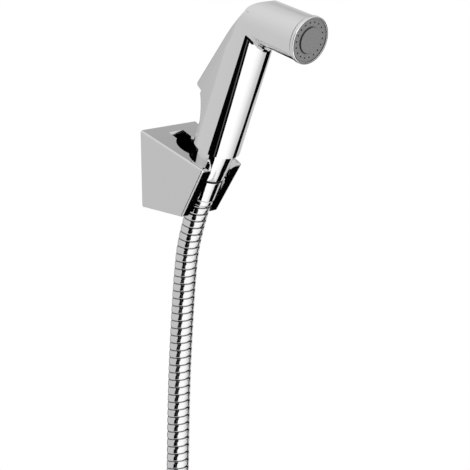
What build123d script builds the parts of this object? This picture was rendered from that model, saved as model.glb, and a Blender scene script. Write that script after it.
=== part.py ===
"""Handheld bidet shower with trigger, wall bracket and flexible metal hose.

All sizes are in millimetres. The wall's face is the plane Y = 0 and the set hangs at Y < 0.
+X runs to the viewer's right along the wall and +Z is up. The origin is in the middle of the
bracket's wall face. The handset is drawn upright about its own axis and then leaned outwards.
"""
from build123d import *
from math import atan, cos, degrees, pi, radians, sin, sqrt, tan
import os

# Wall bracket
lean = 22.4                 # handset axis, degrees out from upright
bracket_height = 49.6
bracket_back_top_width = 49.0
bracket_back_foot_width = 47.0
bracket_front_top_width = 35.0
bracket_front_foot_width = 31.0
bracket_reach = 49.0        # top front edge, out from the wall
bracket_foot_reach = 27.7
bracket_foot_drop = 3.6     # front foot edge below the back foot edge
bracket_wall = 2.2
bracket_edge_radius = 1.6
slot_width = 17.6           # lets the hose in between the jaws
seat_reach = 40.1           # handset axis where it passes the bracket's top face
seat_mouth_radius = 15.6
seat_mouth_depth = 5.0
seat_depth = 11.0           # from the top face to the end of the seat's cone
seat_clearance = 0.05
pocket_radius = 12.6        # round well behind the seat
pocket_reach = 25.0
pocket_floor = -16.0
driver_channel_width = 12.4
back_plate = 6.5
hollow_depth = 14.0         # of the two hollows in the wall side

# Holes for the two wall screws
screw_hole_radius = 2.3
screw_high = 12.0
screw_spacing = 22.0

# Handset shell
grip_radius = 15.0
shell_wall = 1.8
joint_height = 91.2         # where the head's axis meets the grip's
head_rise = 10.2            # head axis, degrees above square to the grip
head_radius = 14.6
head_root_radius = 13.7     # up and down; across, the root is as wide as the grip
root_sink = 1.5             # head's root, inside the elbow
root_relief = 0.05
throat_round = 6.0          # inner corner between the grip's front and the head
face_distance = 46.3        # from the grip's axis to the face ring's rim, along the head
flank_angle = 20.0          # where the grip's flat flanks leave its round front
hump_foot_height = 8.0
hump_foot_depth = 9.0
hump_hollow = 2.2           # how far the neck's back bows in between its foot and the ledge
ledge_height = 28.4
ledge_depth = 18.6
lip_drop = 2.4              # the neck's back wall below the ledge, between the flanks
hump_round = 3.0
crown_round = 14.0
back_round = 4.5            # edges between the flanks and the back
nut_gap = 0.4               # between the grip's foot and the cone nut
nut_stand_out = 9.3         # grip's foot above the bracket's top face, along the axis

# Trigger lever
lever_slope = 0.385         # how far its back comes forward for each millimetre up
bend_height = 79.0          # from here up the back comes forward faster
bend_slope = 0.52
bend_round = 110.0
rim_slope = 0.332           # the same for the shell's open rim
heel_depth = 29.45
heel_height = 29.0
lever_gap = 0.3
lever_wall = 1.6
lever_skirt = 3.5
heel_round = 2.0
lever_toe_gap = 0.3
pivot_depth = -4.0
pivot_height = 89.0
pivot_cover_radius = 9.0
pivot_barrel_radius = 3.2
pivot_barrel_inner = 4.0    # the two barrels leave the middle free for the water tube
pin_radius = 1.5
pin_clearance = 0.05
pin_seat_depth = 1.0
pusher_radius = 3.0
pusher_width = 8.0

# Valve
valve_height = 60.0
chamber_radius = 6.3
chamber_bore = 5.0
chamber_front = 10.0        # the chamber's plugged end, in front of the grip's axis
gland_depth = 5.7
gland_wall = 1.6
seal_thickness = 1.6
seal_radius = 4.9
seat_front = 2.2
seat_thickness = 1.2
seat_bore = 3.3
plug_head = 1.5
stem_radius = 2.4
stem_clearance = 0.05
stem_end = 10.5
stem_disc_radius = 4.4
stem_disc_thickness = 1.4
stem_cap_radius = 3.5
stem_cap_thickness = 1.2
spring_radius = 3.2
spring_wire = 0.5
spring_turns = 3
riser_radius = 7.5
riser_bore = 3.0
riser_offset = 4.0
tube_radius = 3.0
tube_bore = 2.1
tube_offset = 9.0
tube_bend = 9.0
outlet_bore = 1.6
gallery_bore = 1.3
gallery_height = 7.9        # above the chamber's axis
valve_crown_height = 10.0
outlet_top = 13.5

# Inlet connector
connector_flange_height = 6.0
spigot_radius = 10.2
spigot_length = 8.5
spigot_bore = 5.6
connector_neck_radius = 5.5
connector_neck_height = 15.0
ring_groove = 1.8
fit_gap = 0.05

# Spray head
ring_radius = 15.2
ring_length = 2.4
ring_lip = 0.9
ring_tail = 4.0
groove_width = 0.8
face_recess = 0.9
plate_depth = 1.7           # the plate's seat, behind the ring's rim
plate_boss_radius = 8.6
plate_boss_height = 0.9
nozzle_count = 18
nozzle_circle = 11.2
nozzle_radius = 0.45
insert_length = 17.0
insert_wall = 1.6
gasket_thickness = 1.0

# Cone nut and hose ends
nut_top_radius = 12.6
nut_waist_radius = 10.0
nut_waist = 20.0
nut_groove_width = 1.5
nut_groove_depth = 0.9
nut_lower_radius = 9.5
nut_foot_radius = 8.3
nut_length = 36.0
nut_lip_round = 0.7
washer_radius = 9.0
washer_bore = 5.5
washer_thickness = 2.0
nipple_flange = 2.0
nipple_radius = 5.0
nipple_bore = 3.5
ferrule_radius = 7.2
ferrule_collar_radius = 7.8
ferrule_collar = 3.4
ferrule_reach = 3.8         # ferrule below the cone nut's foot
sleeve_clearance = 0.07
thread_bore = 9.32          # G1/2 inside thread, crest radius

# Hose
hose_radius = 7.3
hose_length = 1200.0        # between the outer ends of its two nuts
straight_hose = 26.0        # below the ferrule, in line with the grip
hose_route = [(0, -14.2, -70.0), (0, -10.9, -107.0), (-0.6, -8.6, -150.0),
              (-2.0, -8.4, -225.0), (-15.3, -8.4, -262.0)]
route_end = (-42.2, -8.4, -288.9)
coil_radius = 82.0
coil_start = 135.0          # degrees, counter-clockwise from the right as seen from the front
coil_end = 347.0
coil_overlap_start = 75.0
layer_pitch = 14.8
tail_length = 30.0
tail_tilt = 12.0
tie_angle = 200.0
tie_width = 8.0
tie_thickness = 1.3
tie_clearance = 0.2

# Wall-end nut
wall_nut_flats = 24.0
wall_nut_length = 22.0
wall_nut_offset = 5.0
wall_nut_chamfer = 1.2
sleeve_length = 14.0
thread_relief = 9.9

bracket_top = bracket_height / 2
top_drop = tan(radians(lean))
foot_height = -bracket_top - bracket_foot_drop
front_top = bracket_top - bracket_reach * top_drop
seat_height = bracket_top - seat_reach * top_drop
handset_origin = (
    0,
    -seat_reach - nut_stand_out * sin(radians(lean)),
    seat_height + nut_stand_out * cos(radians(lean)),
)
handset_place = Location(handset_origin, (lean, 0, 0))
head_place = Location((0, 0, joint_height), (90 - head_rise, 0, 0))
inner_radius = grip_radius - shell_wall
lever_radius = inner_radius - lever_gap
ferrule_end = nut_length + ferrule_reach


def turned(points):
    """A turned piece about Z from its half outline of (radius, height) points."""
    outline = Plane.XZ * Polyline(*points, close=True)
    return revolve(make_face(outline), axis=Axis.Z)


def closed_face(points):
    """A flat face within the closed outline of these points in space."""
    return make_face(Polyline(*points, close=True))


def side_slab(points, half_width):
    """A slab seen from the side: (depth, height) points, equally wide to both sides of X = 0."""
    return extrude(Plane.YZ * make_face(Polyline(*points, close=True)), amount=half_width, both=True)


def side_disc(depth, height, radius, half_width):
    """A short cylinder across the grip, along X."""
    return extrude(Plane.YZ * Pos(depth, height) * Circle(radius), amount=half_width, both=True)


def back_depth(height, inset=0.0):
    """Depth of the lever's back line at a height, moved square into the handset by inset."""
    bend_depth = heel_depth - lever_slope * (bend_height - heel_height)
    low = bend_depth - lever_slope * (height - bend_height) - inset * sqrt(1 + lever_slope**2)
    high = bend_depth - bend_slope * (height - bend_height) - inset * sqrt(1 + bend_slope**2)
    return min(low, high)


def back_bend(inset=0.0):
    """Where the lever's back line bends, moved square into the handset by inset."""
    shift = inset * (sqrt(1 + bend_slope**2) - sqrt(1 + lever_slope**2)) / (bend_slope - lever_slope)
    height = bend_height - shift
    return (back_depth(height, inset), height)


def rim_depth(height, inset=0.0):
    """Depth of the shell's open rim at a height, moved square into the handset by inset."""
    return ledge_depth - rim_slope * (height - ledge_height) - inset * sqrt(1 + rim_slope**2)


def grip_section(radius, depth):
    """Round front with two flat flanks that close in towards a flat back."""
    flank = radians(flank_angle)
    hip = (radius * cos(flank), radius * sin(flank))
    edge = hip[0] - (depth - hip[1]) * tan(flank)
    front = CenterArc((0, 0), radius, 180 - flank_angle, 180 + 2 * flank_angle)
    right = Line(hip, (edge, depth))
    back = Line((edge, depth), (-edge, depth))
    left = Line((-edge, depth), (-hip[0], hip[1]))
    return make_face([front.edge(), right.edge(), back.edge(), left.edge()])


def head_length():
    """Length of the head's shell, up to the groove behind the face ring."""
    return face_distance - ring_length - groove_width


def crown_slab(inset=0.0):
    """What lies in front of and below the lever's back line, the crown's arc and the head's top line."""
    rise = radians(head_rise)
    slope = tan(rise + atan((head_radius - head_root_radius) / head_length()))
    root = head_root_radius - inset
    roof = joint_height + root * cos(rise) + root * sin(rise) * slope
    low = (back_depth(0, inset), 0)
    bend = back_bend(inset)
    corner_height = (roof - slope * (bend[0] + bend_slope * bend[1])) / (1 - slope * bend_slope)
    corner = (back_depth(corner_height, inset), corner_height)
    far = (-4 * face_distance, roof + 4 * face_distance * slope)
    line = FilletPolyline(low, bend, corner, far, radius=[bend_round, crown_round - inset])
    closing = Polyline(far, (far[0], 0), low)
    profile = Plane.YZ * make_face(line.edges() + closing.edges())
    slab = extrude(profile, amount=grip_radius - inset, both=True)
    rims = slab.edges().filter_by(lambda e: abs(e.center().X) > 1 and e.center().Z > 1 and
                                  e.center().Y > 1 - 4 * face_distance)
    return fillet(rims, back_round - inset)


def handset_core(inset):
    """Grip tube, elbow ball and head tube, with the back of the elbow cut to the lever's line."""
    radius = grip_radius - inset
    grip = Pos(0, 0, joint_height / 2) * Cylinder(radius, joint_height)
    root = Ellipse(radius - root_relief, head_root_radius - inset - root_relief)
    mouth = Circle(head_radius - inset)
    sections = [Pos(0, 0, -root_sink) * root.face(), Pos(0, 0, head_length()) * mouth.face()]
    head = head_place * loft(sections, ruled=True)
    return ((elbow(inset) + head) + grip) & crown_slab(inset)


def handset_outside():
    """The outside of grip, elbow and head, with a round inner corner below the head."""
    core = handset_core(0)
    throat = core.edges().filter_by(lambda e: e.center().Y < -grip_radius / 2 and
                                    joint_height / 2 < e.center().Z < joint_height - grip_radius / 4)
    return fillet(throat, throat_round)


def elbow(inset):
    """Ball that is as wide as the grip and as high as the head's root."""
    wide = grip_radius - inset
    arc = EllipticalCenterArc((0, 0), wide, head_root_radius - inset, 0, arc_size=180)
    half = make_face([arc.edge(), Line((-wide, 0), (wide, 0)).edge()])
    return Pos(0, 0, joint_height) * revolve(half, axis=Axis.X)


def hump_line(inset=0.0, top=ledge_height):
    """Two points of the hump's sloping underside, moved square into the handset by inset."""
    rise = ledge_height - hump_foot_height
    run = ledge_depth - hump_foot_depth
    size = sqrt(rise**2 + run**2)
    shift = (-rise / size * inset, run / size * inset)
    foot = (hump_foot_depth + shift[0], hump_foot_height + shift[1])
    slope = run / rise
    ledge = (foot[0] + (top - foot[1]) * slope, top)
    return foot, ledge


def flank_block(radius, low, high):
    """The grip's section with its flat flanks, carried straight up between two heights."""
    return Pos(0, 0, low) * extrude(grip_section(radius, heel_depth + 2), amount=high - low)


def make_handset_body():
    foot, ledge = hump_line()
    rise, run = ledge[1] - foot[1], ledge[0] - foot[0]
    size = sqrt(rise**2 + run**2)
    middle = (foot[0] + run / 2 - hump_hollow * rise / size, foot[1] + rise / 2 + hump_hollow * run / size)
    neck = ThreePointArc(foot, middle, ledge)
    rest = Polyline(ledge, (rim_depth(joint_height), joint_height), (-grip_radius, joint_height),
                    (-grip_radius, foot[1]), foot)
    zone = Plane.YZ * make_face(neck.edges() + rest.edges())
    hump = flank_block(grip_radius, foot[1], joint_height) & extrude(zone, amount=2 * grip_radius, both=True)
    under = hump.edges().filter_by(lambda e: e.center().Z < ledge_height - 1 and e.center().Y > foot[0] + 1
                                   and abs(e.center().X) > pin_radius and e.length > (ledge[1] - foot[1]) / 2)
    hump = fillet(under, hump_round)
    outer = handset_outside() + hump
    lip = ledge_height - lip_drop
    foot, ledge = hump_line(shell_wall + hump_hollow, lip)
    hollow_zone = [(-grip_radius, foot[1]), foot, ledge, (2 * heel_depth, lip),
                   (2 * heel_depth, joint_height), (-grip_radius, joint_height)]
    hollow = handset_core(shell_wall) + (
        flank_block(inner_radius, foot[1], joint_height) & side_slab(hollow_zone, 2 * grip_radius))
    body = outer - hollow - lever_room()
    seat = side_disc(pivot_depth, pivot_height, pin_radius + 0.01, inner_radius + pin_seat_depth)
    return body - seat


def behind_rim(gap=0.0):
    """Everything behind the shell's open rim, from its ledge upwards."""
    top = 2 * joint_height
    return side_slab([(rim_depth(ledge_height, -gap), ledge_height), (2 * heel_depth, ledge_height),
                      (2 * heel_depth, top), (rim_depth(top, -gap), top)], 2 * grip_radius)


def below_pivot(low):
    """A tall block across the handset that ends level with the pivot."""
    return Pos(0, 0, (low + pivot_height) / 2) * Box(4 * grip_radius, 6 * grip_radius, pivot_height - low)


def lever_room():
    """What the shell leaves open for the lever, with a recess round its top end."""
    cover = side_disc(pivot_depth, pivot_height, pivot_cover_radius + lever_gap, 2 * grip_radius)
    return behind_rim() & (below_pivot(ledge_height) + cover)


def lever_zone(radius):
    """Side outline of the lever's top end and skirt, as a block across the handset."""
    cover = side_disc(pivot_depth, pivot_height, radius, 2 * grip_radius) & behind_rim(lever_gap)
    skirt_top = pivot_height - 2
    skirt = side_slab([(rim_depth(0, lever_skirt), 0), (2 * heel_depth, 0), (2 * heel_depth, skirt_top),
                       (rim_depth(skirt_top, lever_skirt), skirt_top)], 2 * grip_radius)
    back = behind_rim(lever_gap) & below_pivot(0)
    return cover + skirt + back


def heel_slab(wall):
    """Side outline of the lever's back and heel, moved inwards by wall, as a block across the handset."""
    top = 2 * joint_height
    toe = ledge_height + lever_toe_gap + wall
    heel = (back_depth(heel_height + wall, wall), heel_height + wall)
    roof = (back_depth(top, wall), top)
    back = FilletPolyline(heel, back_bend(wall), roof, radius=bend_round)
    rest = Polyline(roof, (-4 * heel_depth, top), (-4 * heel_depth, toe), (ledge_depth, toe), heel)
    return extrude(Plane.YZ * make_face(back.edges() + rest.edges()), amount=2 * grip_radius, both=True)


def make_trigger_lever():
    blank = flank_block(lever_radius, ledge_height, joint_height + grip_radius)
    blank = blank & heel_slab(0)
    spine = blank.edges().filter_by(
        lambda e: abs(e.center().X) > 3 and e.center().Z > heel_height + 5
        and abs(e.center().Y - back_depth(e.center().Z)) < 0.6)
    blank = fillet(spine, back_round - shell_wall - lever_gap)
    heel = blank.edges().filter_by(
        lambda e: abs(e.center().X) < 0.1 and abs(e.center().Z - heel_height) < 1 and
        e.center().Y > ledge_depth + 4)
    blank = fillet(heel, heel_round) & lever_zone(pivot_cover_radius)
    tall = 4 * grip_radius
    below_elbow = Pos(0, 0, joint_height - tall) * Box(tall, tall, 2 * tall)
    blank = blank & (below_elbow + elbow(shell_wall + lever_gap))
    hollow = flank_block(lever_radius - lever_wall, 0, joint_height + grip_radius)
    cover_room = side_disc(pivot_depth, pivot_height, pivot_cover_radius - lever_wall, 2 * grip_radius)
    hollow = hollow & heel_slab(lever_wall) & (below_pivot(0) + cover_room)
    barrel = side_disc(pivot_depth, pivot_height, pivot_barrel_radius, lever_radius - lever_wall / 2)
    barrel = barrel & handset_core(shell_wall + lever_gap)
    barrel = barrel - side_disc(pivot_depth, pivot_height, 2 * pivot_barrel_radius, pivot_barrel_inner)
    tip = stem_end + lever_gap + pusher_radius
    pusher = side_disc(tip, valve_height, pusher_radius, pusher_width / 2)
    stalk_back = back_depth(valve_height) - lever_wall / 2
    stalk = Pos(0, (tip + stalk_back) / 2, valve_height) * Box(pusher_width, stalk_back - tip, pusher_radius)
    lever = (blank - hollow) + barrel + pusher + stalk
    return lever - side_disc(pivot_depth, pivot_height, pin_radius + pin_clearance, 2 * grip_radius)


def make_trigger_pin():
    half = inner_radius + pin_seat_depth - fit_gap
    return side_disc(pivot_depth, pivot_height, pin_radius, half)


def across(points):
    """A turned piece about the stem's axis, from (radius, depth) points."""
    return Pos(0, 0, valve_height) * Rot(-90, 0, 0) * turned(points)


def upright(depth, low, high, radius):
    """A cylinder along the grip at a depth, between two heights."""
    return Pos(0, depth, (low + high) / 2) * Cylinder(radius, high - low)


def make_valve_body():
    front = -chamber_front
    gland_in = gland_depth - gland_wall
    stem_hole = stem_radius + stem_clearance
    chamber_top = valve_height + chamber_radius
    crown_top = valve_height + valve_crown_height
    boss_top = valve_height + outlet_top
    crown_back = seat_thickness - seat_front + 2.5 * outlet_bore
    chamber = across([(0, front), (chamber_radius, front), (chamber_radius, gland_depth), (0, gland_depth)])
    riser = upright(0, connector_flange_height + 2, valve_height - stem_cap_radius - 0.5, riser_radius)
    shoulder = chamber_top - 0.15
    crown = side_slab([(crown_back, valve_height), (crown_back, crown_top), (-chamber_front - 0.5, crown_top),
                       (-chamber_front - 0.5, shoulder), (2 - chamber_front, shoulder),
                       (2 - chamber_front, valve_height)], stem_cap_radius)
    boss = upright(-tube_offset, valve_height + gallery_height, boss_top, tube_radius + 1)
    body = chamber + riser + crown + boss
    seat_back = -seat_front + seat_thickness
    bore = across([(0, front - 4), (chamber_bore, front - 4), (chamber_bore, -seat_front),
                   (seat_bore, -seat_front), (seat_bore, seat_back), (chamber_bore, seat_back),
                   (chamber_bore, gland_in),
                   (stem_hole, gland_in), (stem_hole, 2 * riser_radius), (0, 2 * riser_radius)])
    socket_top = connector_neck_height + 1
    socket = upright(0, 0, socket_top, connector_neck_radius + fit_gap)
    inlet = upright(-riser_offset, socket_top - 1, valve_height, riser_bore)
    gallery = valve_height + gallery_height
    rise_depth = seat_back + 1.3 * outlet_bore
    rise = upright(rise_depth, valve_height, gallery + 0.5, outlet_bore)
    cross = Pos(0, (rise_depth - tube_offset) / 2, gallery) * Rot(90, 0, 0) * Cylinder(
        gallery_bore, rise_depth + tube_offset)
    drop = upright(-tube_offset, gallery - 0.4, crown_top, tube_bore)
    tube_seat = upright(-tube_offset, crown_top - 0.2, boss_top + 1, tube_radius + fit_gap)
    return body - bore - socket - inlet - rise - cross - drop - tube_seat


def make_valve_plug():
    front = -chamber_front
    plug = chamber_bore - fit_gap
    cap = chamber_radius - 0.3
    return across([(0, front - plug_head), (cap, front - plug_head), (cap, front), (plug, front),
                   (plug, front + 1), (0, front + 1)])


def make_valve_stem():
    disc_back = -seat_front - fit_gap
    disc_front = disc_back - stem_disc_thickness
    cap = stem_end - stem_cap_thickness
    return across([(0, disc_front), (stem_disc_radius, disc_front), (stem_disc_radius, disc_back),
                   (stem_radius, disc_back), (stem_radius, cap), (stem_cap_radius, cap),
                   (stem_cap_radius, stem_end), (0, stem_end)])


def make_stem_seal():
    high = gland_depth - gland_wall - fit_gap
    low = high - seal_thickness
    bore = stem_radius + stem_clearance
    return across([(bore, low), (seal_radius, low), (seal_radius, high), (bore, high)])


def make_valve_spring():
    end = -seat_front - fit_gap - stem_disc_thickness - spring_wire / 2 - fit_gap
    start = -chamber_front + 1 + spring_wire / 2 + fit_gap
    coil = Helix(pitch=(end - start) / spring_turns, height=end - start, radius=spring_radius)
    wire = Plane(origin=coil @ 0, z_dir=coil % 0) * Circle(spring_wire / 2)
    return Pos(0, start, valve_height) * Rot(-90, 0, 0) * sweep(wire, path=coil)


def make_water_tube():
    axis_rise = tan(radians(head_rise))
    low = (0, -tube_offset, valve_height + valve_crown_height)
    bend = (0, -tube_offset, joint_height + tube_offset * axis_rise)
    reach = (face_distance - ring_length - insert_length + 3) * cos(radians(head_rise))
    end = (0, -reach, joint_height + reach * axis_rise)
    path = FilletPolyline(low, bend, end, radius=tube_bend)
    ring = Plane(origin=low, z_dir=(0, 0, 1)) * (Circle(tube_radius) - Circle(tube_bore))
    return sweep(ring, path=path)


def make_inlet_connector():
    flange = inner_radius - fit_gap
    groove_low = connector_flange_height + 4
    groove = connector_neck_radius - 1
    return turned([(nipple_bore, -spigot_length), (spigot_radius - 0.8, -spigot_length),
                   (spigot_radius, -spigot_length + 0.8), (spigot_radius, 0.3), (flange, 0.3),
                   (flange, connector_flange_height), (connector_neck_radius, connector_flange_height),
                   (connector_neck_radius, groove_low), (groove, groove_low),
                   (groove, groove_low + ring_groove), (connector_neck_radius, groove_low + ring_groove),
                   (connector_neck_radius, connector_neck_height), (nipple_bore, connector_neck_height)])


def make_inlet_seal():
    low = connector_flange_height + 4 + fit_gap
    high = low + ring_groove - 2 * fit_gap
    inner = connector_neck_radius - 1 + fit_gap / 2
    return turned([(inner, low), (connector_neck_radius, low), (connector_neck_radius, high), (inner, high)])


def make_face_ring():
    front = face_distance
    back = front - ring_length
    plate = ring_radius - ring_lip
    bore = head_radius - shell_wall - 0.4
    tail = back - ring_tail
    ring = turned([(bore - 1.2, tail), (bore, tail), (bore, back), (ring_radius, back),
                   (ring_radius, front - 0.6), (ring_radius - 0.6, front), (plate, front),
                   (plate, front - plate_depth),
                   (bore - 1.2, front - plate_depth)])
    return head_place * ring


def make_spray_plate():
    front = face_distance - face_recess
    back = face_distance - plate_depth + fit_gap
    edge = ring_radius - ring_lip - fit_gap
    boss = front + plate_boss_height
    plate = turned([(0, back), (edge, back), (edge, front - 0.4), (edge - 0.4, front),
                    (plate_boss_radius, front), (plate_boss_radius - 0.5, boss), (0, boss)])
    hole = Cylinder(nozzle_radius, 8 * plate_depth)
    holes = [loc * hole for loc in PolarLocations(nozzle_circle, nozzle_count)]
    return head_place * (plate - Pos(0, 0, front) * Compound(holes))


def make_face_gasket():
    bore = head_radius - shell_wall - 1.6
    high = face_distance - plate_depth
    low = high - gasket_thickness
    outer = bore - fit_gap
    return head_place * turned([(outer - 2.2, low), (outer, low), (outer, high), (outer - 2.2, high)])


def make_head_insert():
    front = face_distance - plate_depth - gasket_thickness - fit_gap
    cup = head_radius - shell_wall - 1.6 - fit_gap
    back = face_distance - ring_length - insert_length + 6
    tube_end = back - 6
    socket = tube_radius + fit_gap
    insert = turned([(tube_bore, back), (tube_bore, back + 1.4), (cup - insert_wall, back + 4),
                     (cup - insert_wall, front), (cup, front), (cup, back + 3), (socket + 1.4, back),
                     (socket + 1.4, tube_end),
                     (socket, tube_end), (socket, back)])
    return head_place * insert


def nut_cone(distance):
    """Outside radius of the cone nut's upper cone at a distance below the grip's foot."""
    share = (distance - nut_gap) / (nut_waist - nut_gap)
    return nut_top_radius + share * (nut_waist_radius - nut_top_radius)


def make_cone_nut():
    groove_low = nut_waist + nut_groove_width
    groove = nut_waist_radius - nut_groove_depth
    sleeve = ferrule_radius + sleeve_clearance * 3
    thread_end = spigot_length + 0.6
    shoulder = spigot_length + washer_thickness + nipple_flange + 0.3
    room = washer_radius + 0.2
    shape = turned([(spigot_radius + fit_gap, -nut_gap), (nut_top_radius - 0.5, -nut_gap),
                    (nut_cone(nut_gap + 0.5), -nut_gap - 0.5), (nut_waist_radius, -nut_waist),
                    (groove, -nut_waist), (groove, -groove_low), (nut_lower_radius, -groove_low),
                    (nut_foot_radius, -nut_length),
                    (sleeve, -nut_length), (sleeve, -shoulder), (room, -shoulder), (room, -thread_end),
                    (spigot_radius + fit_gap, -thread_end)])
    lip = shape.edges().filter_by(GeomType.CIRCLE).filter_by(
        lambda e: abs(e.center().Z + nut_length) < 0.01 and e.radius > nut_foot_radius - 0.1)
    return fillet(lip, nut_lip_round)


def washer_ring(high):
    low = high - washer_thickness + fit_gap
    return turned([(washer_bore, low), (washer_radius, low), (washer_radius, high), (washer_bore, high)])


def make_upper_nipple():
    high = -spigot_length - washer_thickness
    low = high - nipple_flange
    return turned([(nipple_bore, high), (washer_radius, high), (washer_radius, low), (nipple_radius, low),
                   (nipple_radius, -ferrule_end + 2), (nipple_bore, -ferrule_end + 2)])


def make_upper_ferrule():
    top = -spigot_length - washer_thickness - nipple_flange - 0.3
    bore = nipple_radius + fit_gap
    collar_top = -ferrule_end + ferrule_collar
    return turned([(bore, top), (ferrule_radius, top), (ferrule_radius, collar_top + 0.4),
                   (ferrule_collar_radius, collar_top - 0.2), (ferrule_collar_radius, -ferrule_end + 0.6),
                   (hose_radius, -ferrule_end), (bore, -ferrule_end)])


def make_bracket():
    back = [(-bracket_back_top_width / 2, 0, bracket_top), (bracket_back_top_width / 2, 0, bracket_top),
            (bracket_back_foot_width / 2, 0, -bracket_top), (-bracket_back_foot_width / 2, 0, -bracket_top)]
    front = [(-bracket_front_top_width / 2, -bracket_reach, front_top),
             (bracket_front_top_width / 2, -bracket_reach, front_top),
             (bracket_front_foot_width / 2, -bracket_foot_reach, foot_height),
             (-bracket_front_foot_width / 2, -bracket_foot_reach, foot_height)]
    block = loft([closed_face(back), closed_face(front)], ruled=True)
    outer_edges = block.edges().filter_by(lambda e: e.center().Y < -1)
    block = fillet(outer_edges, bracket_edge_radius)
    block = block - handset_place * make_seat_room() - make_slot() - make_pocket() - make_side_hollows()
    hole = Rot(90, 0, 0) * Cylinder(screw_hole_radius, 4 * back_plate)
    for height in screw_heights():
        block = block - Pos(0, 0, height) * hole
    return block


def make_seat_room():
    """Flared mouth, cone that the nut rests in, and straight bore for the hose."""
    mouth = -nut_stand_out
    cone_top = mouth - seat_mouth_depth
    cone_end = mouth - seat_depth
    top = nut_cone(-cone_top) + seat_clearance
    low = nut_cone(-cone_end) + seat_clearance
    flare = (seat_mouth_radius - top) / seat_mouth_depth
    above = 12.0
    return turned([(0, mouth + above), (seat_mouth_radius + flare * 0.2 * above, mouth + above),
                   (seat_mouth_radius, mouth), (top, cone_top), (low, cone_end), (low, -3 * nut_length),
                   (0, -3 * nut_length)])


def make_slot():
    depth = 2 * bracket_reach
    behind = seat_reach - 2 * hose_radius
    return Pos(0, -behind - depth / 2, 0) * Box(slot_width, depth, 4 * bracket_height) & slot_limit()


def slot_limit():
    """In front of the handset's axis, so that the slot opens only forwards."""
    high = bracket_height * 2
    shift = top_drop
    points = [(-seat_reach + (seat_height - high) * shift, high), (-4 * bracket_reach, high),
              (-4 * bracket_reach, -high), (-seat_reach + (seat_height + high) * shift, -high)]
    return side_slab(points, bracket_height)


def make_pocket():
    high = bracket_top + 5
    well = Pos(0, -pocket_reach, (high + pocket_floor) / 2) * Cylinder(pocket_radius, high - pocket_floor)
    length = pocket_reach - back_plate
    channel = Pos(0, -back_plate - length / 2, (high + pocket_floor) / 2) * Box(
        driver_channel_width, length, high - pocket_floor)
    return well + channel


def make_side_hollows():
    """Two hollows in the wall side, one at each side of the well, with their far walls along the flanks."""
    near = pocket_radius + bracket_wall
    top_taper = (bracket_back_top_width - bracket_front_top_width) / 2 / bracket_reach
    foot_taper = (bracket_back_foot_width - bracket_front_foot_width) / 2 / bracket_foot_reach
    far_top = bracket_back_top_width / 2 - 1.2 * bracket_wall
    far_foot = bracket_back_foot_width / 2 - 1.2 * bracket_wall
    low = -bracket_top + bracket_wall
    high = bracket_top - bracket_wall * 1.5
    deep_high = high - hollow_depth * top_drop
    deep_top = far_top - top_taper * hollow_depth
    deep_foot = far_foot - foot_taper * hollow_depth
    back = [(near, 0.5, low), (far_foot, 0.5, low), (far_top, 0.5, high), (near, 0.5, high)]
    front = [(near, -hollow_depth, low), (deep_foot, -hollow_depth, low),
             (deep_top, -hollow_depth, deep_high), (near, -hollow_depth, deep_high)]
    right = loft([closed_face(back), closed_face(front)], ruled=True)
    return right + mirror(right, about=Plane.YZ)


def screw_heights():
    return [screw_high, screw_high - screw_spacing]


def hose_points():
    start = handset_place * Pos(0, 0, -ferrule_end)
    first = handset_place * Pos(0, 0, -ferrule_end - straight_hose)
    return [tuple(start.position), tuple(first.position)] + hose_route + [route_end]


def corner_radii(points):
    """Each bend's radius: 0.45 of the shorter run beside it, over the tangent of half the turn."""
    radii = []
    for before, here, after in zip(points, points[1:], points[2:]):
        come = Vector(*here) - Vector(*before)
        leave = Vector(*after) - Vector(*here)
        half = radians(come.get_angle(leave)) / 2
        radii.append(0.45 * min(come.length, leave.length) / tan(half))
    return radii


def make_hose_run():
    points = hose_points()
    radii = corner_radii(points)
    print("hose bends", [round(r) for r in radii])
    path = FilletPolyline(*points, radius=radii)
    start = Plane(origin=points[0], z_dir=Vector(*points[1]) - Vector(*points[0]))
    run = sweep(start * Circle(hose_radius), path=path)
    print("hose run length", round(path.length, 1), "volume ratio",
          round(run.volume / (pi * hose_radius**2 * path.length), 4))
    coil_arc = radians(360 + coil_end - coil_start) * coil_radius
    fittings = ferrule_end - nut_gap + wall_nut_offset + wall_nut_length
    print("free hose", round(path.length + coil_arc + tail_length, 1), "overall",
          round(path.length + coil_arc + tail_length + fittings, 1), "nominal", hose_length)
    return run


def coil_centre():
    angle = radians(coil_start)
    return (route_end[0] - coil_radius * cos(angle), route_end[2] - coil_radius * sin(angle))


def coil_plane(angle, depth):
    """The plane square to a turn of the coil at an angle, with its Y along the wall's normal."""
    cx, cz = coil_centre()
    a = radians(angle)
    return Plane(origin=(cx + coil_radius * cos(a), depth, cz + coil_radius * sin(a)),
                 x_dir=(cos(a), 0, sin(a)), z_dir=(-sin(a), 0, cos(a)))


def make_hose_coil():
    cx, cz = coil_centre()
    axis = Axis((cx, 0, cz), (0, -1, 0))
    depth = route_end[1]
    double = SlotCenterToCenter(layer_pitch, 2 * hose_radius, rotation=90)
    overlap = coil_end - coil_overlap_start
    two = revolve(coil_plane(coil_overlap_start, depth) * Pos(0, -layer_pitch / 2) * double, axis=axis,
                  revolution_arc=overlap)
    one = revolve(coil_plane(coil_end, depth) * Circle(hose_radius), axis=axis, revolution_arc=360 - overlap)
    return two + one


def tail_place():
    a = radians(coil_end)
    t = radians(tail_tilt)
    start = coil_plane(coil_end, route_end[1] - layer_pitch).origin
    direction = Vector(-sin(a) * cos(t), -sin(t), cos(a) * cos(t))
    return Plane(origin=start, z_dir=direction)


def fitting_place():
    tail = tail_place()
    return Plane(origin=tail.origin + tail.z_dir * tail_length, z_dir=tail.z_dir)


def make_hose_tail():
    tail = tail_place() * Pos(0, 0, tail_length / 2) * Cylinder(hose_radius, tail_length)
    return tail - make_hose_coil()


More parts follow.
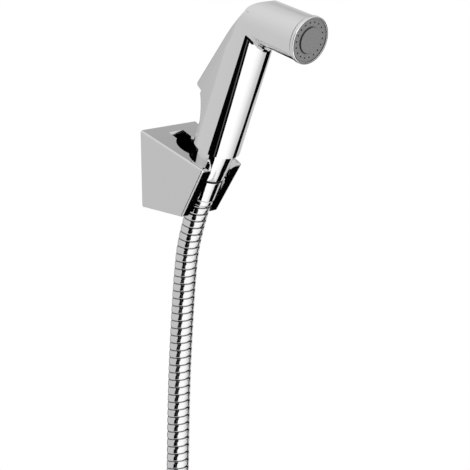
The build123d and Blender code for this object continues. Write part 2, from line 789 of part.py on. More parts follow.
def make_hose_tie():
    place = coil_plane(tie_angle, route_end[1])
    inner = hose_radius + tie_clearance
    outer = inner + tie_thickness
    band = SlotCenterToCenter(layer_pitch, 2 * outer, rotation=90) - SlotCenterToCenter(
        layer_pitch, 2 * inner, rotation=90)
    strap = extrude(Pos(0, -layer_pitch / 2) * band, amount=tie_width / 2, both=True)
    lock = Pos(outer + 1, -layer_pitch / 2, 0) * Box(3, 6, tie_width)
    return place * (strap + lock)


def make_lower_ferrule():
    bore = nipple_radius + fit_gap
    return fitting_place() * turned([(bore, 0), (hose_radius, 0), (ferrule_collar_radius, 0.6),
                                     (ferrule_collar_radius, ferrule_collar - 0.4),
                                     (ferrule_radius, ferrule_collar),
                                     (ferrule_radius, sleeve_length), (bore, sleeve_length)])


def make_lower_nipple():
    low = sleeve_length + 0.6
    high = low + nipple_flange
    return fitting_place() * turned([(nipple_bore, 2), (nipple_radius, 2), (nipple_radius, low),
                                     (washer_radius, low), (washer_radius, high), (nipple_bore, high)])


def make_wall_washer():
    low = sleeve_length + 0.6 + nipple_flange
    return fitting_place() * Pos(0, 0, low + washer_thickness) * washer_ring(0)


def make_wall_nut():
    low = wall_nut_offset
    high = low + wall_nut_length
    shoulder = sleeve_length + 0.4
    thread_start = sleeve_length + 0.6 + nipple_flange + washer_thickness + 0.2
    hexagon = Pos(0, 0, low) * extrude(RegularPolygon(wall_nut_flats / 2, 6, major_radius=False),
                                       amount=wall_nut_length)
    corner = wall_nut_flats / 2 / cos(pi / 6)
    cap = wall_nut_flats / 2
    crown = turned([(0, low), (cap - 0.3, low), (corner, low + wall_nut_chamfer),
                    (corner, high - wall_nut_chamfer), (cap - 0.3, high), (0, high)])
    sleeve = ferrule_radius + sleeve_clearance
    room = turned([(0, low - 1), (sleeve, low - 1), (sleeve, shoulder), (thread_relief, shoulder),
                   (thread_relief, thread_start), (thread_bore, thread_start), (thread_bore, high + 1),
                   (0, high + 1)])
    return fitting_place() * ((hexagon & crown) - room)


def make_parts():
    in_handset = {
        "handset_body": make_handset_body(),
        "trigger_lever": make_trigger_lever(),
        "trigger_pin": make_trigger_pin(),
        "valve_body": make_valve_body(),
        "valve_plug": make_valve_plug(),
        "valve_stem": make_valve_stem(),
        "stem_seal": make_stem_seal(),
        "valve_spring": make_valve_spring(),
        "water_tube": make_water_tube(),
        "inlet_connector": make_inlet_connector(),
        "inlet_seal": make_inlet_seal(),
        "head_insert": make_head_insert(),
        "face_gasket": make_face_gasket(),
        "spray_plate": make_spray_plate(),
        "face_ring": make_face_ring(),
        "cone_nut": make_cone_nut(),
        "handset_washer": washer_ring(-spigot_length - fit_gap / 2),
        "upper_nipple": make_upper_nipple(),
        "upper_ferrule": make_upper_ferrule(),
    }
    parts = {name: handset_place * solid for name, solid in in_handset.items()}
    parts["wall_bracket"] = make_bracket()
    parts["hose_run"] = make_hose_run()
    parts["hose_coil"] = make_hose_coil()
    parts["hose_tail"] = make_hose_tail()
    parts["hose_tie"] = make_hose_tie()
    parts["lower_ferrule"] = make_lower_ferrule()
    parts["lower_nipple"] = make_lower_nipple()
    parts["wall_washer"] = make_wall_washer()
    parts["wall_nut"] = make_wall_nut()
    return parts


os.makedirs("parts", exist_ok=True)
for part_name, part_solid in make_parts().items():
    part_solid.label = part_name
    export_step(part_solid, f"parts/{part_name}.step")
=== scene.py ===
# Handheld bidet shower in its wall bracket: chromed shell, cone nut and a coiled ribbed hose.
from math import cos, pi, radians, sin
import bpy
import numpy as np
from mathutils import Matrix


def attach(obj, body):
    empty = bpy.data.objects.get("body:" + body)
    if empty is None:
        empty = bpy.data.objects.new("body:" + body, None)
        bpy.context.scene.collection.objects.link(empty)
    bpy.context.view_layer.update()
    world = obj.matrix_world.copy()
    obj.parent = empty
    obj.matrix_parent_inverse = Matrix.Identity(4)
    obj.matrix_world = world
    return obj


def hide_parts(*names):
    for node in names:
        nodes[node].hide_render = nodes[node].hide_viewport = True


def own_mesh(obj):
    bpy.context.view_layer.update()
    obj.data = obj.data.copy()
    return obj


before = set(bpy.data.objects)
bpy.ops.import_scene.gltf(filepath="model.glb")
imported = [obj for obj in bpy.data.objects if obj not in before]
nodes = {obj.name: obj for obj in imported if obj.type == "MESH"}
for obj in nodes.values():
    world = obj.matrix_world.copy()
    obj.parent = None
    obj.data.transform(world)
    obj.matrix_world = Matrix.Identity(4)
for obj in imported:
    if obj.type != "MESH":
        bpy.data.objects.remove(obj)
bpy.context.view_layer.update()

scene = bpy.context.scene
mm = 0.001

# The handset's own frame in the shared one: its foot and axis, and the root and axis of its spray head.
handsetFoot = (0.0, -0.043644, 0.016870)
lean = radians(22.4)
handsetAxis = (0.0, -sin(lean), cos(lean))
headHeight = 0.0912
headRise = radians(10.2)
headRoot = (0.0, handsetFoot[1] - headHeight * sin(lean), handsetFoot[2] + headHeight * cos(lean))
headAxis = (0.0, -cos(headRise - lean), sin(headRise - lean))

# Noise in the roughness: its waves per metre in metal and in plastic, its detail, and its usual range.
grain = {
    "metal": 60.0,
    "plastic": 900.0,
    "detail": 3.0,
    "range": (0.35, 0.65),
}
# lowest and highest roughness of bright plate
brightPlate = (0.02, 0.05)


# Linear RGBA of an sRGB colour such as "C0C0C0".
def linear(hexColour):
    parts = [int(hexColour[i:i + 2], 16) / 255 for i in (0, 2, 4)]
    return [c / 12.92 if c <= 0.04045 else ((c + 0.055) / 1.055) ** 2.4 for c in parts] + [1.0]


# Adds a shader node. A name is a property of the node or else one of its sockets.
def addNode(tree, kind, **settings):
    node = tree.nodes.new(kind)
    for name, value in settings.items():
        if hasattr(node, name):
            setattr(node, name, value)
        else:
            node.inputs[name.replace("_", " ")].default_value = value
    return node


# One math node: the inputs are sockets or plain numbers.
def calculate(tree, operation, *values):
    node = addNode(tree, "ShaderNodeMath", operation=operation)
    for socket, value in zip(node.inputs, values):
        if isinstance(value, bpy.types.NodeSocket):
            tree.links.new(value, socket)
        else:
            socket.default_value = value
    return node.outputs["Value"]


# 1 where a value lies above an edge, 0 below it, with a soft step between.
def above(tree, value, edge, softness):
    step = addNode(tree, "ShaderNodeMapRange", interpolation_type="SMOOTHSTEP", From_Min=edge - softness / 2,
                   From_Max=edge + softness / 2)
    tree.links.new(value, step.inputs["Value"])
    return step.outputs["Result"]


# 1 where a value lies below an edge, 0 above it.
def below(tree, value, edge, softness):
    return calculate(tree, "SUBTRACT", 1.0, above(tree, value, edge, softness))


# The shaded point's place, measured from an origin in the piece's own axes.
def placeFrom(tree, origin):
    place = addNode(tree, "ShaderNodeTexCoord")
    shift = addNode(tree, "ShaderNodeVectorMath", operation="SUBTRACT")
    shift.inputs[1].default_value = origin
    tree.links.new(place.outputs["Object"], shift.inputs[0])
    return shift.outputs["Vector"]


# The X, Y and Z of a vector.
def splitVector(tree, vector):
    split = addNode(tree, "ShaderNodeSeparateXYZ")
    tree.links.new(vector, split.inputs["Vector"])
    return split.outputs


# How far along a unit direction a vector reaches.
def alongAxis(tree, vector, direction):
    product = addNode(tree, "ShaderNodeVectorMath", operation="DOT_PRODUCT")
    product.inputs[1].default_value = direction
    tree.links.new(vector, product.inputs[0])
    return product.outputs["Value"]


# How far off a unit direction a vector ends.
def offAxis(tree, vector, direction):
    cross = addNode(tree, "ShaderNodeVectorMath", operation="CROSS_PRODUCT")
    cross.inputs[1].default_value = direction
    tree.links.new(vector, cross.inputs[0])
    size = addNode(tree, "ShaderNodeVectorMath", operation="LENGTH")
    tree.links.new(cross.outputs["Vector"], size.inputs[0])
    return size.outputs["Value"]


def newMaterial(name):
    material = bpy.data.materials.new(name)
    material.use_nodes = True
    tree = material.node_tree
    tree.nodes.clear()
    output = addNode(tree, "ShaderNodeOutputMaterial")
    surface = addNode(tree, "ShaderNodeBsdfPrincipled")
    tree.links.new(surface.outputs["BSDF"], output.inputs["Surface"])
    return material, tree, surface


# Roughness wanders between two values with a noise, scale in waves per metre.
def mixRoughness(tree, surface, low, high, scale):
    place = addNode(tree, "ShaderNodeTexCoord")
    noise = addNode(tree, "ShaderNodeTexNoise", Scale=scale, Detail=grain["detail"])
    spread = addNode(tree, "ShaderNodeMapRange", From_Min=grain["range"][0], From_Max=grain["range"][1],
                     To_Min=low, To_Max=high)
    tree.links.new(place.outputs["Object"], noise.inputs["Vector"])
    tree.links.new(noise.outputs["Fac"], spread.inputs["Value"])
    tree.links.new(spread.outputs["Result"], surface.inputs["Roughness"])


# Colour goes from one to another where the mask goes from 0 to 1.
def mixColour(tree, surface, first, second, mask):
    mix = addNode(tree, "ShaderNodeMix", data_type="RGBA")
    mix.inputs["A"].default_value = linear(first)
    mix.inputs["B"].default_value = linear(second)
    tree.links.new(mask, mix.inputs["Factor"])
    tree.links.new(mix.outputs["Result"], surface.inputs["Base Color"])


# Metal with no colour yet.
def plainMetal(name, low, high):
    material, tree, surface = newMaterial(name)
    surface.inputs["Metallic"].default_value = 1.0
    mixRoughness(tree, surface, low, high, grain["metal"])
    return material, tree, surface


# Metal of one colour, plated or bare.
def metal(name, colour, low, high):
    material, tree, surface = plainMetal(name, low, high)
    surface.inputs["Base Color"].default_value = linear(colour)
    return material


# Plastic, rubber or paint with no colour yet.
def plainPlastic(name, low, high, scale=grain["plastic"]):
    material, tree, surface = newMaterial(name)
    surface.inputs["IOR"].default_value = 1.5
    mixRoughness(tree, surface, low, high, scale)
    return material, tree, surface


# Plastic, rubber or paint of one colour.
def moulded(name, colour, low, high, scale=grain["plastic"]):
    material, tree, surface = plainPlastic(name, low, high, scale)
    surface.inputs["Base Color"].default_value = linear(colour)
    return material


# sizes in metres: a round well and a channel behind it, painted dark as shade from shadeStart below the
# sloping top face
bracketWell = {
    "axisY": -0.025,
    "radius": 0.01275,
    "channelHalf": 0.0063,
    "topHeight": 0.0248,
    "shadeStart": 0.0018,
    "shadeSoftness": 0.0006,
    "edgeSoftness": 0.0002,
}


# Bright plate on the bracket. Low in the well behind the seat and in the channel, the colour is painted dark
# as shade.
def platedBracket(w):
    material, tree, surface = plainMetal("chromium plate on the bracket, painted shade in the well", *brightPlate)
    soft = w["edgeSoftness"]
    reach = offAxis(tree, placeFrom(tree, (0.0, w["axisY"], 0.0)), (0.0, 0.0, 1.0))
    well = below(tree, reach, w["radius"], soft)
    place = splitVector(tree, placeFrom(tree, (0.0, 0.0, 0.0)))
    side = calculate(tree, "ABSOLUTE", place["X"])
    channel = calculate(tree, "MULTIPLY", below(tree, side, w["channelHalf"], soft),
                        above(tree, place["Y"], w["axisY"], soft))
    inside = calculate(tree, "MAXIMUM", well, channel)
    # depth below the top face, which falls with the lean towards the front
    fall = calculate(tree, "MULTIPLY", place["Y"], sin(lean) / cos(lean))
    depth = calculate(tree, "SUBTRACT", calculate(tree, "ADD", fall, w["topHeight"]), place["Z"])
    # painted shade: the well and the channel darken below the top face
    paintedShade = above(tree, depth, w["shadeStart"], w["shadeSoftness"])
    mixColour(tree, surface, "E9E9E9", "262626", calculate(tree, "MULTIPLY", inside, paintedShade))
    return material


# distances in metres along the handset's axis from its foot, bounding the groove that is painted dark as
# shade
nutGroove = {
    "low": -0.02165,
    "high": -0.0199,
    "edgeSoftness": 0.0001,
}


# Bright plate on the cone nut. The narrow groove round its waist is painted dark as shade.
def platedNut(g):
    material, tree, surface = plainMetal("chromium plate on the nut, painted shade in its groove", *brightPlate)
    along = alongAxis(tree, placeFrom(tree, handsetFoot), handsetAxis)
    aboveLow = above(tree, along, g["low"], g["edgeSoftness"])
    belowHigh = below(tree, along, g["high"], g["edgeSoftness"])
    # painted shade in the groove
    mixColour(tree, surface, "F2F2F2", "141414", calculate(tree, "MULTIPLY", aboveLow, belowHigh))
    return material


# sizes in metres: nozzles on a circle, and the step up to the raised middle, with painted shade on its left
# side
sprayFace = {
    "nozzleCount": 18,
    "nozzleCircle": 0.0112,
    "mouthRadius": 0.0006,
    "stepInner": 0.0080,
    "stepOuter": 0.0087,
    "shadeEdge": 0.001,
    "shadeSoftness": 0.008,
    "edgeSoftness": 0.0002,
}


# Grey spray plate. The mouths of its ring of nozzles are painted dark as shade, and so is the foot of its
# raised middle on its left side.
def sprayGrey(f):
    material, tree, surface = plainPlastic("grey ABS plastic, satin", 0.38, 0.46)
    soft = f["edgeSoftness"]
    place = placeFrom(tree, headRoot)
    reach = offAxis(tree, place, headAxis)
    rightward = splitVector(tree, place)["X"]
    upward = alongAxis(tree, place, (0.0, -headAxis[2], headAxis[1]))
    # angle round the head's axis, folded so that each nozzle lies at angle 0
    sector = 2 * pi / f["nozzleCount"]
    turned = calculate(tree, "ADD", calculate(tree, "ARCTAN2", upward, rightward), sector / 2)
    folded = calculate(tree, "SUBTRACT", calculate(tree, "FLOORED_MODULO", turned, sector), sector / 2)
    # distance from the middle of the nearest nozzle
    outward = calculate(tree, "MULTIPLY", reach, calculate(tree, "COSINE", folded))
    outward = calculate(tree, "SUBTRACT", outward, f["nozzleCircle"])
    sideways = calculate(tree, "MULTIPLY", reach, calculate(tree, "SINE", folded))
    squares = calculate(tree, "ADD", calculate(tree, "MULTIPLY", outward, outward),
                        calculate(tree, "MULTIPLY", sideways, sideways))
    # painted shade in the nozzle mouths
    mouths = below(tree, calculate(tree, "SQRT", squares), f["mouthRadius"], soft)
    step = calculate(tree, "MULTIPLY", above(tree, reach, f["stepInner"], soft),
                     below(tree, reach, f["stepOuter"], soft))
    # painted shade: the foot of the raised middle, on its left side only
    shaded = calculate(tree, "MULTIPLY", step, below(tree, rightward, f["shadeEdge"], f["shadeSoftness"]))
    mixColour(tree, surface, "8A8A8A", "2A2A2A", calculate(tree, "MAXIMUM", mouths, shaded))
    return material


# the "groove" value midway from bright to dark, and how much of it the change takes
stripShade = {
    "middle": 0.5,
    "softness": 0.8,
}


# Polished strip. Its "groove" attribute is 1 down in the groove, where grease and shade make it dark.
def ribbedSteel(s):
    material, tree, surface = plainMetal("stainless steel strip, polished", 0.05, 0.1)
    groove = addNode(tree, "ShaderNodeAttribute", attribute_name="groove")
    dark = above(tree, groove.outputs["Fac"], s["middle"], s["softness"])
    mixColour(tree, surface, "EDEDED", "1E1E1E", dark)
    return material


chromedShell = metal("chromium plate on plastic", "F2F2F2", *brightPlate)
chromedBracket = platedBracket(bracketWell)
chromedBrass = metal("chromium plate on brass", "F2F2F2", *brightPlate)
chromedNut = platedNut(nutGroove)
hoseSteel = ribbedSteel(stripShade)
drawnSteel = metal("drawn stainless steel", "C8C8C8", 0.2, 0.32)
turnedBrass = metal("turned brass", "D9B76A", 0.15, 0.28)
sprayPlastic = sprayGrey(sprayFace)
whiteAcetal = moulded("white acetal plastic", "E4E4E0", 0.35, 0.45)
blackRubber = moulded("black NBR rubber", "1C1C1C", 0.55, 0.65)
nylon = moulded("natural nylon", "E2E0D8", 0.4, 0.5)
print("materials made")

finishes = {
    chromedShell: ["handset_body", "trigger_lever"],
    chromedBracket: ["wall_bracket"],
    chromedNut: ["cone_nut"],
    chromedBrass: ["upper_ferrule", "lower_ferrule", "wall_nut"],
    drawnSteel: ["trigger_pin", "valve_spring"],
    turnedBrass: ["inlet_connector", "upper_nipple", "lower_nipple"],
    sprayPlastic: ["spray_plate"],
    whiteAcetal: ["valve_body", "valve_plug", "valve_stem", "water_tube", "head_insert"],
    blackRubber: ["stem_seal", "inlet_seal", "face_gasket", "handset_washer", "wall_washer"],
    nylon: ["hose_tie"],
}
# rounding of the edges, in mm
edgeWidths = {
    "handset_body": 0.25,
    "trigger_lever": 0.35,
    "wall_bracket": 0.3,
    "cone_nut": 0.25,
    "wall_nut": 0.3,
    "upper_ferrule": 0.2,
    "lower_ferrule": 0.2,
    "spray_plate": 0.15,
    "hose_tie": 0.2,
}
# the weld in mm, the sharpest bend in degrees that stays unrounded, the bevel's steps and the normals' weight
edgeStyle = {
    "weld": 0.002,
    "bend": 32,
    "segments": 2,
    "weight": 50,
}


# Gives a piece its finish, welds its triangles together and rounds its edges by so many mm.
def finishPiece(piece, finish, edgeWidth):
    piece.data.materials.clear()
    piece.data.materials.append(finish)
    for face in piece.data.polygons:
        face.use_smooth = True
    weld = piece.modifiers.new("join", "WELD")
    weld.merge_threshold = edgeStyle["weld"] * mm
    if edgeWidth:
        bevel = piece.modifiers.new("edges", "BEVEL")
        bevel.width = edgeWidth * mm
        bevel.segments = edgeStyle["segments"]
        bevel.limit_method = "ANGLE"
        bevel.angle_limit = radians(edgeStyle["bend"])
        bevel.use_clamp_overlap = True
    normals = piece.modifiers.new("normals", "WEIGHTED_NORMAL")
    normals.weight = edgeStyle["weight"]


for finish, names in finishes.items():
    for name in names:
        finishPiece(nodes[name], finish, edgeWidths.get(name, 0))
print("CAD pieces finished")

# The valve's spring, which shortens towards the plug by the stem's travel as the trigger is pressed, gets a
# mesh of its own here.
spring = nodes["valve_spring"]
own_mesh(spring)

# Sizes in mm, angles in degrees. The exit lies on the handset's axis. The ring is the coil, and ringFrom
# holds the x and z where it starts.
hose = {
    "radius": 7.3,
    "exit": (0.0, -28.477353521316644, -19.92668133382299),
    "first": (0.0, -18.56952373620952, -43.96487820774313),
    "route": [(0, -14.2, -70.0), (0, -10.9, -107.0), (-0.6, -8.6, -150.0), (-2.0, -8.4, -225.0),
              (-15.3, -8.4, -262.0)],
    "ringFrom": (-42.2, -288.9),
    "ringRadius": 82.0,
    "ringStart": 135.0,
    "ringEnd": 707.0,
    "ringStep": 30.0,
    "shiftStart": 432.0,
    "shiftEnd": 497.0,
    "nearLayer": -8.4,
    "farLayer": -23.2,
    "end": (102.282, -29.4374, -336.736),
    "splineSteps": 24,
    "pitch": 5.0,
    "inset": 0.02,
    "grooveDepth": 0.7,
    "grooveStart": 0.72,
    "barrelPower": 6,
    "around": 44,
    "alongPitch": 10,
}


# Control points of the hose's line: straight runs, then polygon corners that its turns touch midway.
def hosePoints(h):
    turns = h["ringEnd"] - h["ringStart"]
    count = round(turns / h["ringStep"])
    half = turns / count / 2
    start = radians(h["ringStart"])
    middleX = h["ringFrom"][0] - h["ringRadius"] * cos(start)
    middleZ = h["ringFrom"][1] - h["ringRadius"] * sin(start)
    points = [h["exit"], h["first"]] + h["route"]
    for k in range(count):
        angle = h["ringStart"] + half * (2 * k + 1)
        share = min(max((angle - h["shiftStart"]) / (h["shiftEnd"] - h["shiftStart"]), 0), 1)
        depth = h["nearLayer"] + (h["farLayer"] - h["nearLayer"]) * share * share * (3 - 2 * share)
        reach = h["ringRadius"] / cos(radians(half))
        points.append((middleX + reach * cos(radians(angle)), depth, middleZ + reach * sin(radians(angle))))
    last = radians(h["ringEnd"])
    points.append((middleX + h["ringRadius"] * cos(last), h["farLayer"],
                   middleZ + h["ringRadius"] * sin(last)))
    points.append(h["end"])
    return points


# Points close together along the spline with these control points, in metres, so many for each of its spans.
def splineLine(name, points, steps):
    curve = bpy.data.curves.new(name, "CURVE")
    curve.dimensions = "3D"
    spline = curve.splines.new("NURBS")
    spline.points.add(len(points) - 1)
    for point, place in zip(spline.points, points):
        point.co = [c * mm for c in place] + [1.0]
    spline.order_u = 3
    spline.use_endpoint_u = True
    spline.resolution_u = steps
    holder = bpy.data.objects.new(name, curve)
    scene.collection.objects.link(holder)
    bpy.context.view_layer.update()
    mesh = bpy.data.meshes.new_from_object(holder)
    line = np.empty(len(mesh.vertices) * 3)
    mesh.vertices.foreach_get("co", line)
    bpy.data.objects.remove(holder)
    bpy.data.curves.remove(curve)
    bpy.data.meshes.remove(mesh)
    return line.reshape(-1, 3)


# The same line with points an even step apart, and the distance along it at each.
def evenly(line, step):
    gaps = np.linalg.norm(np.diff(line, axis=0), axis=1)
    along = np.concatenate([[0], np.cumsum(gaps)])
    count = int(np.ceil(along[-1] / step)) + 1
    places = np.linspace(0, along[-1], count)
    return np.stack([np.interp(places, along, line[:, k]) for k in range(3)], 1), places


# A pair of directions across the line at each point, carried along it without twist.
def acrossLine(line):
    ahead = np.gradient(line, axis=0)
    ahead /= np.linalg.norm(ahead, axis=1, keepdims=True)
    side = np.empty_like(line)
    side[0] = np.cross(ahead[0], (0, 0, 1))
    side[0] /= np.linalg.norm(side[0])
    for k in range(1, len(line)):
        flat = side[k - 1] - ahead[k] * (side[k - 1] @ ahead[k])
        side[k] = flat / np.linalg.norm(flat)
    return side, np.cross(ahead, side)


# A mesh from a grid of points. It closes round its second direction if told so.
def gridMesh(name, grid, closed):
    rows, columns = grid.shape[:2]
    i, j = np.meshgrid(np.arange(rows - 1), np.arange(columns if closed else columns - 1), indexing="ij")
    k = (j + 1) % columns
    quads = np.stack([i * columns + j, i * columns + k, (i + 1) * columns + k, (i + 1) * columns + j], -1)
    quads = quads.reshape(-1, 4)
    mesh = bpy.data.meshes.new(name)
    mesh.vertices.add(rows * columns)
    mesh.vertices.foreach_set("co", grid.reshape(-1))
    mesh.loops.add(quads.size)
    mesh.loops.foreach_set("vertex_index", quads.ravel())
    mesh.polygons.add(len(quads))
    mesh.polygons.foreach_set("loop_start", np.arange(0, quads.size, 4))
    mesh.polygons.foreach_set("use_smooth", np.ones(len(quads), bool))
    mesh.update(calc_edges=True)
    mesh.validate()
    piece = bpy.data.objects.new(name, mesh)
    scene.collection.objects.link(piece)
    return piece


# Keeps a grey value at every point of a mesh.
def setShade(piece, name, shade):
    attribute = piece.data.color_attributes.new(name, "FLOAT_COLOR", "POINT")
    colours = np.ones((len(shade), 4))
    colours[:, :3] = shade[:, None]
    attribute.data.foreach_set("color", colours.ravel())


# Interlocked strip: each turn is a low barrel, and a narrow groove winds round between the turns.
def ribbedHose(h):
    line = splineLine("hoseLine", hosePoints(h), h["splineSteps"])
    centre, along = evenly(line, h["pitch"] * mm / h["alongPitch"])
    side, up = acrossLine(centre)
    around = np.linspace(0, 2 * pi, h["around"], endpoint=False)
    # place within the strip's turn, from 0 to 1, one groove for each turn of the helix
    turn = (along[:, None] / (h["pitch"] * mm) - around[None, :] / (2 * pi)) % 1.0
    # barrel: highest midway, falling off as a high power of the distance towards the groove at both ends
    away = np.abs(2 * turn - 1)
    fall = away ** h["barrelPower"]
    radius = (h["radius"] - h["inset"] - h["grooveDepth"] * fall) * mm
    # surface = centre + radius * (cos of the angle * side + sin of the angle * up)
    spokes = np.cos(around)[None, :, None] * side[:, None, :] + np.sin(around)[None, :, None] * up[:, None, :]
    piece = gridMesh("ribbedHose", centre[:, None, :] + radius[:, :, None] * spokes, True)
    setShade(piece, "groove", np.clip((away - h["grooveStart"]) / (1 - h["grooveStart"]), 0, 1).ravel())
    piece.data.materials.append(hoseSteel)
    return piece, line, along[-1]


# Sizes in mm: radii from the head's axis, distances along it from the head's root.
bezel = {
    "radius": 15.2,
    "lipRadius": 13.9,
    "front": 46.3,
    "frontRound": 0.7,
    "lipThickness": 0.25,
    "plateRadius": 14.3,
    "plateSeat": 44.6,
    "back": 43.9,
    "tail": 42.3,
    "bore": 12.2,
    "tailWall": 1.2,
    "edgeWidth": 0.08,
    "around": 144,
    "roundSteps": 8,
}


# Ring round the spray plate, turned about the head's axis, with a rounded rim and a lip over the plate.
def faceBezel(b):
    inner = b["bore"] - b["tailWall"]
    lipBack = b["front"] - b["lipThickness"]
    corner = [(b["radius"] - b["frontRound"] + b["frontRound"] * cos(a),
               b["front"] - b["frontRound"] + b["frontRound"] * sin(a))
              for a in np.linspace(0, pi / 2, b["roundSteps"])]
    outline = [(inner, b["tail"]), (b["bore"], b["tail"]), (b["bore"], b["back"]), (b["radius"], b["back"])]
    outline += corner
    outline += [(b["lipRadius"], b["front"]), (b["lipRadius"], lipBack), (b["plateRadius"], lipBack),
                (b["plateRadius"], b["plateSeat"]), (inner, b["plateSeat"]), (inner, b["tail"])]
    profile = np.array(outline) * mm
    around = np.linspace(0, 2 * pi, b["around"], endpoint=False)
    # surface = head's root + distance * axis + radius * (cos of angle * across + sin of angle * upward)
    across = np.array([1.0, 0.0, 0.0])
    upward = np.cross(headAxis, across)
    spokes = np.cos(around)[:, None] * across + np.sin(around)[:, None] * upward
    grid = (np.array(headRoot) + profile[:, None, 1, None] * np.array(headAxis)
            + profile[:, None, 0, None] * spokes[None, :, :])
    return gridMesh("faceBezel", grid, True)


bezelPiece = faceBezel(bezel)
finishPiece(bezelPiece, chromedShell, bezel["edgeWidth"])
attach(bezelPiece, "base")
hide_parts("face_ring")
print("face bezel made")

hosePiece, hoseLine, hoseLength = ribbedHose(hose)
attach(hosePiece, "base")
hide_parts("hose_run", "hose_coil", "hose_tail")
print("hose made, length in mm", round(hoseLength * 1000, 1))

# camera fitted to the photograph's edges, angles in degrees, lens and sensor in mm, place in metres
view = {
    "azimuth": -44.85,
    "elevation": 12.45,
    "lens": 187.66,
    "sensor": 36.0,
    "place": (-1.05478, -1.12004, 0.29305),
}

# Cards are parts of balls round the handset, radii in metres. Azimuths count to the viewer's right from the
# camera's own, elevations up from level, both in degrees. Rows are (elevation, left azimuth, right azimuth).
studio = {
    "middle": (0.0, -0.06, 0.05),
    "cardSteps": 48,
    "tentReach": 0.98,
    "tentGrey": "CECECE",
    # azimuths and elevations of the tent: first, last, count
    "tentAround": (-200, 160, 121),
    "tentUp": (-75, 89, 60),
    # (azimuth, elevation, half width, grey)
    "tentPatches": [(-80, 45, 38, "DADADA"), (160, 42, 12, "A4A4A4"), (-20, 75, 30, "EEEEEE"),
                    (-140, 0, 11, "8A8A8A"), (-155, 8, 8, "FAFAFA"), (-154, -32, 9, "A8A8A8")],
    # (name, radius, grey, rows)
    "cards": [
        ("frontPanel", 0.92, "FFFFFF", [(-66, -20, 120), (32, -20, 120)]),
        ("leftFlag", 0.88, "030303", [(-58, -60, -16), (-50, -58, -10), (-44, -57, -4), (-41, -55, -5),
                                      (-39, -54, -7), (-36, -53, -9.5), (-33.5, -52, -12), (-28, -49, -6),
                                      (-26, -43, -3), (-23, -40, -1), (-8, -43, 0), (24, -43, -6)]),
        ("leftGlint", 0.86, "606060", [(-46, -18, -15), (-36, -20.5, -17.5), (-32, -23.5, -20.5),
                                       (-26, -28, -25.5)]),
        ("rightFlag", 0.87, "030303", [(-62, 94, 146), (-52, 92, 148), (-46, 100, 148), (-40, 107, 144),
                                       (-36, 113, 138), (-33, 112, 130), (-26, 110, 136), (-18, 108, 148),
                                       (-6, 110, 140), (12, 110, 132)]),
        ("backFlag", 0.86, "030303", [(-41, 208, 220), (-36, 200, 222), (-30, 190, 218), (-20, 176, 204),
                                      (-6, 166, 190)]),
        ("faceFlag", 0.84, "030303", [(-27, 86, 103), (-13, 86, 103)]),
        ("lowFlag", 0.85, "030303", [(-84, 110, 250), (-56, 150, 205)]),
    ],
    # the front panel dims towards its right edge: azimuths, then brightness
    "panelFade": [(40, 60, 78, 90, 98, 112), (1.14, 1.03, 0.88, 0.74, 0.65, 0.62)],
    "floorHeight": -0.78,
    "floorReach": 1.5,
    "floorSides": 96,
}


# Points on a ball round the handset.
def ballPoints(azimuths, elevations, reach):
    turn = np.radians(azimuths + view["azimuth"])
    tilt = np.radians(elevations)
    ball = np.stack([np.cos(tilt) * np.sin(turn), -np.cos(tilt) * np.cos(turn), np.sin(tilt)], -1)
    return np.array(studio["middle"]) + reach * ball


# A surface that glows by its own "shade" attribute: 0 is black, 1 is white, and more is brighter than white.
def glowing(name):
    material = bpy.data.materials.new(name)
    material.use_nodes = True
    tree = material.node_tree
    tree.nodes.clear()
    output = addNode(tree, "ShaderNodeOutputMaterial")
    shade = addNode(tree, "ShaderNodeAttribute", attribute_name="shade")
    glow = addNode(tree, "ShaderNodeEmission", Strength=1.0)
    tree.links.new(shade.outputs["Color"], glow.inputs["Color"])
    tree.links.new(glow.outputs["Emission"], output.inputs["Surface"])
    return material


glow = glowing("studio light")


# Makes a mesh a glowing card of the studio that the camera itself doesn't see.
def stageCard(card, shade):
    setShade(card, "shade", shade)
    card.data.materials.append(glow)
    card.visible_camera = False
    card.visible_shadow = False


# Part of a ball between a left and a right edge, which run straight from row to row.
def studioCard(name, reach, colour, rows):
    heights = np.linspace(rows[0][0], rows[-1][0], studio["cardSteps"])
    left = np.interp(heights, [r[0] for r in rows], [r[1] for r in rows])
    right = np.interp(heights, [r[0] for r in rows], [r[2] for r in rows])
    share = np.linspace(0, 1, studio["cardSteps"])
    azimuths = left[:, None] + (right - left)[:, None] * share[None, :]
    elevations = heights[:, None] + 0 * azimuths
    card = gridMesh(name, ballPoints(azimuths, elevations, reach), False)
    shade = np.full(azimuths.size, linear(colour)[0])
    if name == "frontPanel":
        shade *= np.interp(azimuths.ravel(), *studio["panelFade"])
    stageCard(card, shade)


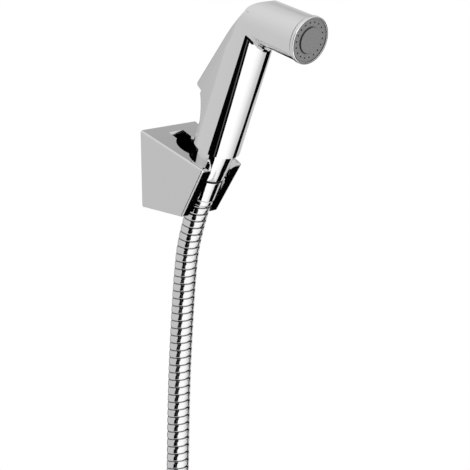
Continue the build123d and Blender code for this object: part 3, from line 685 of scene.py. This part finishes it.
# Grey tent all round the object, behind the cards. Its patches fade out as bell curves.
def studioTent():
    middle = np.array(studio["middle"])
    azimuths, elevations = np.meshgrid(np.linspace(*studio["tentAround"]),
                                       np.linspace(*studio["tentUp"]))
    grid = ballPoints(azimuths, elevations, studio["tentReach"])
    tent = gridMesh("tent", grid, False)
    direction = (grid - middle) / studio["tentReach"]
    shade = np.full(azimuths.shape, linear(studio["tentGrey"])[0])
    for azimuth, elevation, width, grey in studio["tentPatches"]:
        towards = ballPoints(np.array(float(azimuth)), np.array(float(elevation)), 1.0) - middle
        away = np.degrees(np.arccos(np.clip(direction @ towards, -1, 1)))
        share = np.exp(-(away / width) ** 2)
        shade += (linear(grey)[0] - shade) * share
    stageCard(tent, shade.ravel())


studioTent()
for card in studio["cards"]:
    studioCard(*card)

# Pale floor, far below the set, out of the photograph's frame.
bpy.ops.mesh.primitive_circle_add(vertices=studio["floorSides"], radius=studio["floorReach"],
                                  fill_type="NGON", location=(0, 0, studio["floorHeight"]))
floor = bpy.context.object
floor.name = "floor"
floorPaint = moulded("pale matt floor", "F0F0F0", 0.7, 0.8, 20.0)
floor.data.materials.append(floorPaint)

# World: white to the camera and in mirrors and glass, soft grey light on the rest.
world = bpy.data.worlds.new("studio")
scene.world = world
world.use_nodes = True
tree = world.node_tree
tree.nodes.clear()
output = addNode(tree, "ShaderNodeOutputWorld")
seen = addNode(tree, "ShaderNodeLightPath")
direct = calculate(tree, "MAXIMUM", seen.outputs["Is Camera Ray"], seen.outputs["Is Glossy Ray"])
shown = calculate(tree, "MAXIMUM", direct, seen.outputs["Is Transmission Ray"])
mix = addNode(tree, "ShaderNodeMixShader")
room = addNode(tree, "ShaderNodeBackground", Strength=1.0)
room.inputs["Color"].default_value = linear("C2C2C2")
paper = addNode(tree, "ShaderNodeBackground", Strength=1.0)
paper.inputs["Color"].default_value = (1, 1, 1, 1)
tree.links.new(shown, mix.inputs["Fac"])
tree.links.new(room.outputs["Background"], mix.inputs[1])
tree.links.new(paper.outputs["Background"], mix.inputs[2])
tree.links.new(mix.outputs["Shader"], output.inputs["Surface"])
scene.view_settings.view_transform = "Standard"

cameraData = bpy.data.cameras.new("camera")
cameraData.lens = view["lens"]
cameraData.sensor_width = view["sensor"]
camera = bpy.data.objects.new("camera", cameraData)
camera.location = view["place"]
camera.rotation_euler = (radians(90 - view["elevation"]), 0, radians(view["azimuth"]))
scene.collection.objects.link(camera)
scene.camera = camera
print("studio ready")
